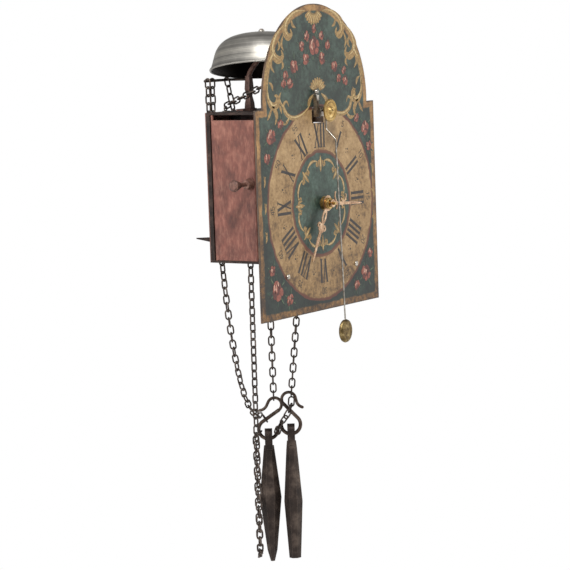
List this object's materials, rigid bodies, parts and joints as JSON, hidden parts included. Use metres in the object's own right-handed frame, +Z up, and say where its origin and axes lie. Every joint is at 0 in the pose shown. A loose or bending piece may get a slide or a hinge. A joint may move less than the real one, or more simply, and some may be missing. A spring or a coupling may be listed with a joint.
{
  "type": "wall clock",
  "caption": "Forged-iron wall clock with a painted arched dial, a pendulum in front, a bell on top, and chains with hooked spindle weights.",
  "frame": {"origin": "middle of the dial's lower edge, on its painted face", "axes": "+X to the right seen from the front, +Y back to the wall, +Z up"},
  "size_m": [0.25, 0.168, 0.6655],
  "materials": {
    "dial": "weathered dark green and ochre oil paint on sheet iron",
    "pale_steel": "pale filed iron, lightly polished",
    "frame_iron": "dark forged iron with brown wear",
    "case_paint": "worn red-brown oil paint over iron",
    "latch_iron": "worn pinkish red paint over turned iron",
    "brass": "old brass, dulled",
    "hand_steel": "filed iron, browned",
    "steel": "filed iron",
    "pendulum_steel": "dark drawn wire",
    "bob_metal": "tarnished brass",
    "bell_metal": "grey polished bell metal with turning marks",
    "chain_iron": "dark forged iron wire",
    "hook_iron": "dark forged iron",
    "weight_iron": "dark forged iron, faceted"
  },
  "bodies": {
    "clock": {"top_plate": "frame_iron", "bottom_plate": "frame_iron", "corner_posts": "frame_iron", "front_bar": "frame_iron", "middle_bar": "frame_iron", "rear_bar": "frame_iron", "back_sheet": "case_paint", "wall_spurs": "frame_iron", "dial_plate": "dial", "dial_pins": "pale_steel", "lower_dial_bracket": "frame_iron", "upper_dial_bracket": "frame_iron", "front_cock": "pale_steel", "cock_finial": "pale_steel", "crown_foot_bracket": "frame_iron", "crown_top_cock": "frame_iron", "motion_stud": "steel", "bell_stand": "frame_iron", "bell": "bell_metal", "bell_nut": "pale_steel", "going_chain": "chain_iron", "strike_chain": "chain_iron", "hanging_chain": "chain_iron", "stay_chain": "chain_iron", "chain_staples": "chain_iron", "stay_staples": "chain_iron", "chain_rail": "chain_iron", "right_hook": "hook_iron", "left_hook": "hook_iron"},
    "minute_work": {"minute_arbor": "brass", "minute_hand": "hand_steel"},
    "hour_work": {"hour_wheel": "brass", "hand_hub": "brass", "hour_hand": "hand_steel"},
    "motion_wheel": {"motion_report_wheel": "brass"},
    "going_great": {"going_great_wheel": "brass", "going_chain_wheel": "brass"},
    "second_arbor": {"second_wheel": "brass"},
    "contrate_arbor": {"contrate_wheel": "brass"},
    "crown_arbor": {"crown_wheel": "brass"},
    "pendulum": {"verge": "steel", "pendulum_disc": "brass", "pendulum_wire": "pendulum_steel", "pendulum_bob": "bob_metal"},
    "strike_great": {"strike_great_wheel": "brass", "strike_chain_wheel": "brass", "count_wheel": "brass"},
    "pin_arbor": {"pin_wheel": "brass"},
    "hoop_arbor": {"hoop_wheel": "brass"},
    "fly_arbor": {"fly": "steel"},
    "lifting_arbor": {"lifting_lever": "steel"},
    "hammer_arbor": {"hammer": "steel"},
    "door_left": {"left_door": "case_paint"},
    "door_right": {"right_door": "case_paint"},
    "latch_left": {"left_latch": "latch_iron"},
    "latch_right": {"right_latch": "latch_iron"},
    "weight_right": {"right_weight": "weight_iron"},
    "weight_left": {"left_weight": "weight_iron"}
  },
  "joints": [
    {"name": "minute_turn", "type": "hinge", "parent": "clock", "child": "minute_work", "pos_m": [0.005, 0, 0.1236], "axis": [0, 1, 0], "continuous": true},
    {"name": "hour_turn", "type": "hinge", "parent": "clock", "child": "hour_work", "pos_m": [0.005, 0, 0.1236], "axis": [0, 1, 0], "continuous": true},
    {"name": "motion_turn", "type": "hinge", "parent": "clock", "child": "motion_wheel", "pos_m": [0.005, 0.014, 0.1076], "axis": [0, 1, 0], "continuous": true},
    {"name": "going_great_turn", "type": "hinge", "parent": "clock", "child": "going_great", "pos_m": [0, 0.07, 0.118], "axis": [0, 1, 0], "continuous": true},
    {"name": "second_turn", "type": "hinge", "parent": "clock", "child": "second_arbor", "pos_m": [-0.01801, 0.055, 0.1712], "axis": [0, 1, 0], "continuous": true},
    {"name": "contrate_turn", "type": "hinge", "parent": "clock", "child": "contrate_arbor", "pos_m": [0.005, 0.05, 0.18415], "axis": [0, 1, 0], "continuous": true},
    {"name": "crown_turn", "type": "hinge", "parent": "clock", "child": "crown_arbor", "pos_m": [0.005, 0.0235, 0.205], "axis": [0, 0, 1], "continuous": true},
    {"name": "pendulum_swing", "type": "hinge", "parent": "clock", "child": "pendulum", "pos_m": [0.005, 0, 0.23], "axis": [0, 1, 0], "range_deg": [-20, 20]},
    {"name": "strike_great_turn", "type": "hinge", "parent": "clock", "child": "strike_great", "pos_m": [0, 0.097, 0.118], "axis": [0, 1, 0], "continuous": true},
    {"name": "pin_wheel_turn", "type": "hinge", "parent": "clock", "child": "pin_arbor", "pos_m": [0.01792, 0.097, 0.17095], "axis": [0, 1, 0], "continuous": true},
    {"name": "hoop_wheel_turn", "type": "hinge", "parent": "clock", "child": "hoop_arbor", "pos_m": [0, 0.097, 0.18691], "axis": [0, 1, 0], "continuous": true},
    {"name": "fly_turn", "type": "hinge", "parent": "clock", "child": "fly_arbor", "pos_m": [-0.016, 0.097, 0.19697], "axis": [0, 1, 0], "continuous": true},
    {"name": "lifting_lever_lift", "type": "hinge", "parent": "clock", "child": "lifting_arbor", "pos_m": [-0.03, 0.097, 0.176], "axis": [0, 1, 0], "range_deg": [0, 6]},
    {"name": "hammer_lift", "type": "hinge", "parent": "clock", "child": "hammer_arbor", "pos_m": [0.038, 0.097, 0.196], "axis": [0, 1, 0], "range_deg": [0, 9]},
    {"name": "left_door_open", "type": "hinge", "parent": "clock", "child": "door_left", "pos_m": [-0.0563, 0.1065, 0.15], "axis": [0, 0, -1], "range_deg": [0, 105]},
    {"name": "right_door_open", "type": "hinge", "parent": "clock", "child": "door_right", "pos_m": [0.0563, 0.1065, 0.15], "axis": [0, 0, 1], "range_deg": [0, 105]},
    {"name": "left_latch_turn", "type": "hinge", "parent": "door_left", "child": "latch_left", "pos_m": [-0.057, 0.055, 0.15], "axis": [1, 0, 0], "range_deg": [0, 90]},
    {"name": "right_latch_turn", "type": "hinge", "parent": "door_right", "child": "latch_right", "pos_m": [0.057, 0.055, 0.15], "axis": [1, 0, 0], "range_deg": [0, 90]},
    {"name": "right_weight_swing", "type": "hinge", "parent": "clock", "child": "weight_right", "pos_m": [0.047, 0.081, -0.15949], "axis": [0.5548, -0.832, 0], "range_deg": [-4, 4]},
    {"name": "left_weight_swing", "type": "hinge", "parent": "clock", "child": "weight_left", "pos_m": [0.037, 0.107, -0.16549], "axis": [0.5548, -0.832, 0], "range_deg": [0, 4]}
  ],
  "couplings": [
    {"joint": "going_great_turn", "follows": "minute_turn", "ratio": 0.16667},
    {"joint": "second_turn", "follows": "minute_turn", "ratio": -2},
    {"joint": "contrate_turn", "follows": "minute_turn", "ratio": 20},
    {"joint": "crown_turn", "follows": "minute_turn", "ratio": -133.33},
    {"joint": "motion_turn", "follows": "minute_turn", "ratio": -0.33333},
    {"joint": "hour_turn", "follows": "minute_turn", "ratio": 0.083333},
    {"joint": "pin_wheel_turn", "follows": "strike_great_turn", "ratio": -9.75},
    {"joint": "hoop_wheel_turn", "follows": "strike_great_turn", "ratio": 87.75},
    {"joint": "fly_turn", "follows": "strike_great_turn", "ratio": -702}
  ]
}
